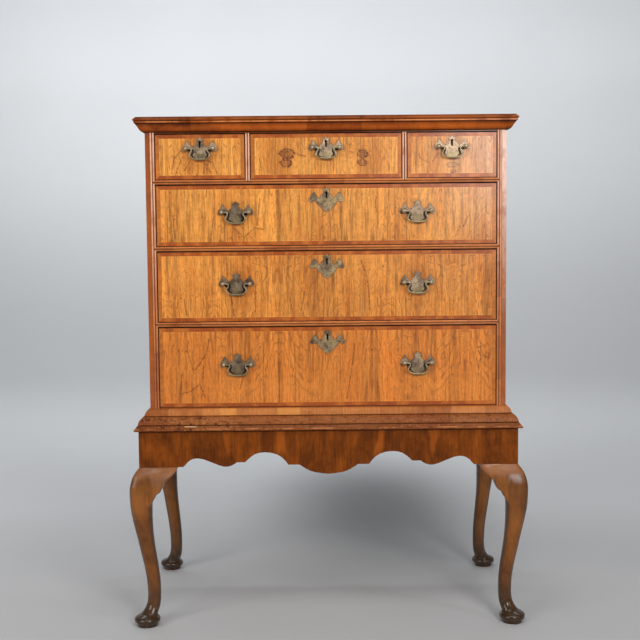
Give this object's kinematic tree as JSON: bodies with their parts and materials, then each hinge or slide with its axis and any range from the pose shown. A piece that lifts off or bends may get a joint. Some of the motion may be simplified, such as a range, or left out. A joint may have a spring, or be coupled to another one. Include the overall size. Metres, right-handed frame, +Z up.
{
  "type": "highboy",
  "caption": "Walnut chest of drawers on a stand with shaped apron, cabriole legs on pad feet, double-bead rails, sliding drawers and hinged batwing bail handles.",
  "frame": {"origin": "on the floor, under the middle of the whole piece's width and depth", "axes": "+X to the right seen from the front, +Y to the back, +Z up"},
  "size_m": [1.0652, 0.5666, 1.361],
  "materials": {
    "figured_veneer": "figured walnut veneer, polished and worn",
    "moulding_walnut": "cross-grain walnut moulding, worn polish",
    "side_veneer": "walnut veneer, polished",
    "apron_veneer": "dark walnut veneer, polished",
    "leg_walnut": "solid walnut, polished",
    "carcase_oak": "unfinished oak",
    "drawer_oak": "unfinished oak",
    "aged_brass": "aged, with a grey-green patina",
    "lock_iron": "dark aged iron"
  },
  "bodies": {
    "carcase": {"case_side_left": "side_veneer", "case_side_right": "side_veneer", "case_top": "side_veneer", "top_rail": "moulding_walnut", "case_bottom": "carcase_oak", "case_back": "carcase_oak", "cornice": "moulding_walnut", "rail_upper": "moulding_walnut", "rail_middle": "moulding_walnut", "rail_lower": "moulding_walnut", "divider_left": "moulding_walnut", "divider_right": "moulding_walnut", "waist_moulding": "moulding_walnut", "apron_front": "apron_veneer", "apron_left": "apron_veneer", "apron_right": "apron_veneer", "stand_back_rail": "carcase_oak", "leg_front_left": "leg_walnut", "leg_front_right": "leg_walnut", "leg_rear_left": "leg_walnut", "leg_rear_right": "leg_walnut"},
    "drawer_short_left": {"drawer_front_short_left": "figured_veneer", "drawer_box_short_left": "drawer_oak", "lock_short_left": "lock_iron", "handle_plate_short_left": "aged_brass"},
    "drawer_short_centre": {"drawer_front_short_centre": "figured_veneer", "drawer_box_short_centre": "drawer_oak", "lock_short_centre": "lock_iron", "handle_plate_short_centre": "aged_brass"},
    "drawer_short_right": {"drawer_front_short_right": "figured_veneer", "drawer_box_short_right": "drawer_oak", "lock_short_right": "lock_iron", "handle_plate_short_right": "aged_brass"},
    "drawer_long_upper": {"drawer_front_long_upper": "figured_veneer", "drawer_box_long_upper": "drawer_oak", "lock_long_upper": "lock_iron", "escutcheon_upper": "aged_brass", "handle_plate_upper_left": "aged_brass", "handle_plate_upper_right": "aged_brass"},
    "drawer_long_middle": {"drawer_front_long_middle": "figured_veneer", "drawer_box_long_middle": "drawer_oak", "lock_long_middle": "lock_iron", "escutcheon_middle": "aged_brass", "handle_plate_middle_left": "aged_brass", "handle_plate_middle_right": "aged_brass"},
    "drawer_long_lower": {"drawer_front_long_lower": "figured_veneer", "drawer_box_long_lower": "drawer_oak", "lock_long_lower": "lock_iron", "escutcheon_lower": "aged_brass", "handle_plate_lower_left": "aged_brass", "handle_plate_lower_right": "aged_brass"},
    "bail_short_left": {"bail_short_left": "aged_brass"},
    "bail_short_centre": {"bail_short_centre": "aged_brass"},
    "bail_short_right": {"bail_short_right": "aged_brass"},
    "bail_upper_left": {"bail_upper_left": "aged_brass"},
    "bail_upper_right": {"bail_upper_right": "aged_brass"},
    "bail_middle_left": {"bail_middle_left": "aged_brass"},
    "bail_middle_right": {"bail_middle_right": "aged_brass"},
    "bail_lower_left": {"bail_lower_left": "aged_brass"},
    "bail_lower_right": {"bail_lower_right": "aged_brass"}
  },
  "joints": [
    {"name": "drawer_short_left_slide", "type": "slide", "parent": "carcase", "child": "drawer_short_left", "axis": [0, -1, 0], "range_m": [0, 0.34]},
    {"name": "drawer_short_centre_slide", "type": "slide", "parent": "carcase", "child": "drawer_short_centre", "axis": [0, -1, 0], "range_m": [0, 0.34]},
    {"name": "drawer_short_right_slide", "type": "slide", "parent": "carcase", "child": "drawer_short_right", "axis": [0, -1, 0], "range_m": [0, 0.34]},
    {"name": "drawer_long_upper_slide", "type": "slide", "parent": "carcase", "child": "drawer_long_upper", "axis": [0, -1, 0], "range_m": [0, 0.34]},
    {"name": "drawer_long_middle_slide", "type": "slide", "parent": "carcase", "child": "drawer_long_middle", "axis": [0, -1, 0], "range_m": [0, 0.34]},
    {"name": "drawer_long_lower_slide", "type": "slide", "parent": "carcase", "child": "drawer_long_lower", "axis": [0, -1, 0], "range_m": [0, 0.34]},
    {"name": "bail_short_left_swing", "type": "hinge", "parent": "drawer_short_left", "child": "bail_short_left", "pos_m": [-0.3326, -0.2425, 1.2789], "axis": [-1, 0, 0], "range_deg": [-18, 198]},
    {"name": "bail_short_centre_swing", "type": "hinge", "parent": "drawer_short_centre", "child": "bail_short_centre", "pos_m": [0, -0.2425, 1.2789], "axis": [-1, 0, 0], "range_deg": [-18, 198]},
    {"name": "bail_short_right_swing", "type": "hinge", "parent": "drawer_short_right", "child": "bail_short_right", "pos_m": [0.3326, -0.2425, 1.2789], "axis": [-1, 0, 0], "range_deg": [-18, 198]},
    {"name": "bail_upper_left_swing", "type": "hinge", "parent": "drawer_long_upper", "child": "bail_upper_left", "pos_m": [-0.241, -0.2425, 1.1107], "axis": [-1, 0, 0], "range_deg": [-18, 198]},
    {"name": "bail_upper_right_swing", "type": "hinge", "parent": "drawer_long_upper", "child": "bail_upper_right", "pos_m": [0.241, -0.2425, 1.1107], "axis": [-1, 0, 0], "range_deg": [-18, 198]},
    {"name": "bail_middle_left_swing", "type": "hinge", "parent": "drawer_long_middle", "child": "bail_middle_left", "pos_m": [-0.241, -0.2425, 0.922], "axis": [-1, 0, 0], "range_deg": [-18, 198]},
    {"name": "bail_middle_right_swing", "type": "hinge", "parent": "drawer_long_middle", "child": "bail_middle_right", "pos_m": [0.241, -0.2425, 0.922], "axis": [-1, 0, 0], "range_deg": [-18, 198]},
    {"name": "bail_lower_left_swing", "type": "hinge", "parent": "drawer_long_lower", "child": "bail_lower_left", "pos_m": [-0.241, -0.2425, 0.7063], "axis": [-1, 0, 0], "range_deg": [-18, 198]},
    {"name": "bail_lower_right_swing", "type": "hinge", "parent": "drawer_long_lower", "child": "bail_lower_right", "pos_m": [0.241, -0.2425, 0.7063], "axis": [-1, 0, 0], "range_deg": [-18, 198]}
  ]
}
